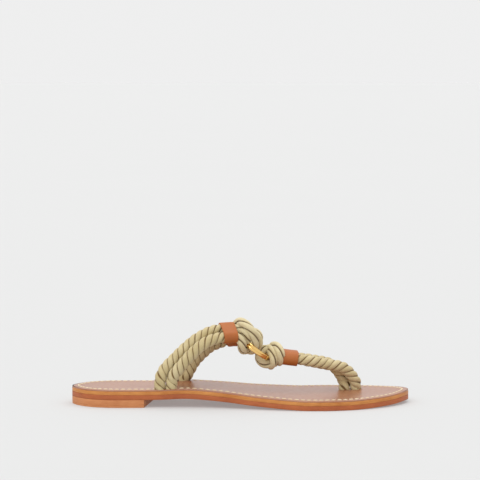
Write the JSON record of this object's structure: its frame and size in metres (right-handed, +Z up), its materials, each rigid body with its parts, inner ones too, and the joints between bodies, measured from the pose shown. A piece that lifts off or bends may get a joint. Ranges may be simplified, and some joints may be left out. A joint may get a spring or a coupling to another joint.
{
  "type": "toe post sandal",
  "caption": "Flat right-foot sandal with a layered leather sole and a knotted rope upper, linked by a ring to a toe post.",
  "frame": {"origin": "middle of the bounding box, on the floor plane that heel and forefoot stand on", "axes": "+X along the sole towards the toe, +Y towards the inner side of the right foot, +Z up"},
  "size_m": [0.25, 0.0849, 0.0639],
  "materials": {
    "outsole_leather": "dyed red-brown edge, lightly polished",
    "edge_leather": "raw golden cut edge",
    "insole_leather": "smooth brown leather with a soft sheen",
    "heel_leather": "tan stacked leather",
    "band_leather": "smooth tan leather",
    "rope": "matte three-strand cotton rope",
    "gold": "polished gold plate"
  },
  "bodies": {
    "root": {"outsole": "outsole_leather", "midsole": "edge_leather", "insole": "insole_leather", "heel_lift": "heel_leather", "heel_top_piece": "heel_leather", "lateral_rope_rear": "rope", "lateral_rope_front": "rope", "medial_rope_rear": "rope", "medial_rope_front": "rope", "lateral_band": "band_leather", "medial_band": "band_leather", "instep_knot": "rope", "ring": "gold", "toe_knot": "rope", "toe_band": "band_leather", "toe_rope_front": "rope", "toe_rope_rear": "rope"}
  },
  "joints": []
}
